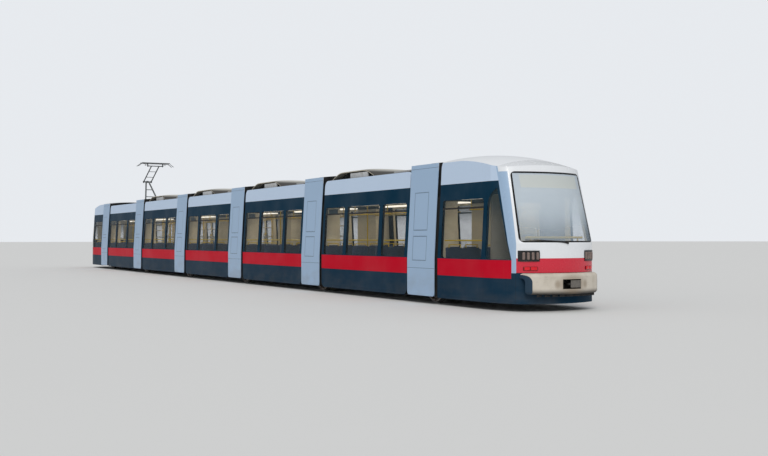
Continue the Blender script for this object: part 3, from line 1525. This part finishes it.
for number in range(2, CARS - 1):
    body = f"car_body_{number}"
    middle = car_x(number)

    slats = bmesh.new()
    start, end = HOOD
    foot = DECK + 0.04
    for n in range(1, int((end - start) / SLAT_PITCH)):
        x = start + n * SLAT_PITCH
        top = min(hood_height(x), HOOD_TOP) - 0.035
        for side in (-1, 1):
            place = (middle + x, side * (GEAR_HALF + 0.004), (foot + top) / 2)
            add_block(slats, place, (SLAT_WIDTH, SLAT_WIDTH, top - foot), 0.003)
    add_piece(f"hood_slats_{number}", slats, body, "dark_plastic")

    fins = bmesh.new()
    start, end = LOW_GEAR
    for n in range(int((end - start - 0.2) / FIN_PITCH)):
        x = middle + start + 0.1 + n * FIN_PITCH
        add_block(fins, (x, 0, LOW_TOP + 0.035), FIN)
    for side in (-1, 1):
        for share in (0.25, 0.75):
            x = middle + start + (end - start) * share
            add_block(fins, (x, side * (GEAR_HALF + 0.012), GRILLE_Z), GRILLE, 0.008)
    add_piece(f"cooling_fins_{number}", fins, body, "gear")

    cover = bmesh.new()
    add_hood_cover(cover, middle)
    add_piece(f"hood_cover_{number}", cover, body, "hood")

    boxes = bmesh.new()
    (along, reach, height), size = EDGE_BOX
    for side in (-1, 1):
        add_block(boxes, (middle + along, side * reach, height), size, 0.008)
    add_piece(f"edge_boxes_{number}", boxes, body, "gear")

for number in range(2, CARS):
    body = f"car_body_{number}"
    middle = car_x(number)
    pipes = bmesh.new()
    clamps = bmesh.new()
    for side in (-1, 1):
        for row, radius in enumerate(CONDUITS):
            y, z = side * (CONDUIT_Y + CONDUIT_STEP * row), DECK + radius + 0.012
            add_tube(pipes, (middle - MID_HALF + 0.04, y, z), (middle + HOOD[0] + 0.1, y, z), radius, 14)
        for n in range(3):
            x = middle - MID_HALF + 0.3 + n * CLAMP_STEP
            add_block(clamps, (x, side * (CONDUIT_Y + 0.045), DECK + 0.036), CLAMP, 0.008)
        y = side * (wall_half(BRACKET_Z) - 0.075)
        for n in range(4):
            add_block(clamps, (middle + (n - 1.5) * BRACKET_STEP, y, BRACKET_Z), BRACKET, 0.008)
    add_piece(f"roof_conduits_{number}", pipes, body, "rubber")
    add_piece(f"roof_clamps_{number}", clamps, body, "gear")


# ---------------------------------------------------------------- pantograph

PANTO_CAR = CARS - 1
PANTO_BODY = f"car_body_{PANTO_CAR}"
PANTO_X = car_x(PANTO_CAR) - 0.9
SHEDS = 6
LOWER_LENGTH, LOWER_ANGLE = 1.18, radians(52)
UPPER_LENGTH, UPPER_ANGLE = 1.35, radians(28)
# Places of the hinges, as x and z
FOOT = (PANTO_X, 3.075)
KNEE = (FOOT[0] + LOWER_LENGTH * cos(LOWER_ANGLE), FOOT[1] + LOWER_LENGTH * sin(LOWER_ANGLE))
HEAD = (KNEE[0] - UPPER_LENGTH * cos(UPPER_ANGLE), KNEE[1] + UPPER_LENGTH * sin(UPPER_ANGLE))
# Half width of the forked lower arm at its foot and at its knee
FORK = (0.29, 0.06)
# Main springs: start, end, reach and height
SPRINGS = (-0.5, -0.06, 0.2, 3.02)
DRIVE_Z = 3.0
# Rails of the base frame: their reach, and the places and span of the bolts on them
BASE_REACH = 0.42
BASE_BOLTS = (-0.5, -0.2, 0.2, 0.5)
BOLT_SPAN = (2.984, 2.997)
INSULATOR_HALF = 0.52
STRIP_HALF = 0.13
STRIP_REACH = 0.4
STRIP_Z = HEAD[1] + 0.11


def shed_outline():
    """Section of an insulator with its row of sheds, as radius and height above the deck."""
    outline = [(0.0, 0.01), (0.052, 0.01)]
    for n in range(SHEDS):
        z = 0.035 + n * 0.042
        outline += [(0.052, z), (0.088, z + 0.006), (0.086, z + 0.012), (0.054, z + 0.024)]
    return outline + [(0.052, 0.29), (0.0, 0.29)]


def add_spring(shape, start, end, radius, wire, turns):
    """Coil spring between two points, swept as a helix of short bars."""
    start, end = Vector(start), Vector(end)
    turn = (end - start).to_track_quat("Z", "Y").to_matrix()
    length = (end - start).length
    points = []
    for n in range(turns * 12 + 1):
        angle = 2 * pi * n / 12
        local = Vector((radius * cos(angle), radius * sin(angle), length * n / (turns * 12)))
        points.append(start + turn @ local)
    for a, b in zip(points, points[1:]):
        add_tube(shape, a, b, wire, 6)


def add_cross_bar(shape, start, end, share, half, radius):
    """Bar across an arm, at a share of the way from one hinge to the other."""
    x, z = start[0] + (end[0] - start[0]) * share, start[1] + (end[1] - start[1]) * share
    add_tube(shape, (x, -half, z), (x, half, z), radius)


shape = bmesh.new()
for x in (-INSULATOR_HALF, INSULATOR_HALF):
    for y in (-BASE_REACH, BASE_REACH):
        add_turned(shape, shed_outline(), (PANTO_X + x, y, DECK))
add_piece("pantograph_insulators", shape, PANTO_BODY, "ceramic", 40)

shape = bmesh.new()
for side in (-1, 1):
    start, end = ((PANTO_X + x, side * SPRINGS[2], SPRINGS[3]) for x in SPRINGS[:2])
    add_spring(shape, start, end, 0.034, 0.006, 16)
    add_tube(shape, start, end, 0.012, 10)
    for x in BASE_BOLTS:
        start, end = ((PANTO_X + x, side * BASE_REACH, z) for z in BOLT_SPAN)
        add_tube(shape, start, end, 0.014, 6)
add_block(shape, (PANTO_X - 0.28, 0, DRIVE_Z), (0.34, 0.13, 0.12), 0.02, FLAT, 3)
add_tube(shape, (PANTO_X - 0.12, 0, DRIVE_Z), (PANTO_X - 0.02, 0, DRIVE_Z), 0.02, 14)
add_piece("pantograph_drive", shape, PANTO_BODY, "metal", 40)

shape = bmesh.new()
for share in (0.25, 0.6):
    add_cross_bar(shape, FOOT, KNEE, share, FORK[0] + (FORK[1] - FORK[0]) * share, 0.016)
add_block(shape, (KNEE[0], 0, KNEE[1]), (0.09, 0.1, 0.09), 0.02, FLAT, 3)
add_piece("lower_arm_braces", shape, "lower_arm_body", "metal", 40)

shape = bmesh.new()
for share in (0.3, 0.65):
    add_cross_bar(shape, KNEE, HEAD, share, 0.17, 0.012)
add_piece("upper_arm_braces", shape, "upper_arm_body", "metal", 40)

# Strip holders under the two carbon strips, with the springs that carry them
shape = bmesh.new()
for x in (HEAD[0] - STRIP_HALF, HEAD[0] + STRIP_HALF):
    add_block(shape, (x, 0, STRIP_Z - 0.01), (0.05, 1.16, 0.012), 0.003)
    for y in (-STRIP_REACH, STRIP_REACH):
        add_spring(shape, (x, y, STRIP_Z - 0.075), (x, y, STRIP_Z - 0.016), 0.016, 0.003, 5)
        add_block(shape, (x, y, STRIP_Z - 0.08), (0.05, 0.05, 0.012), 0.003)
add_piece("strip_holders", shape, "head_body", "metal", 40)
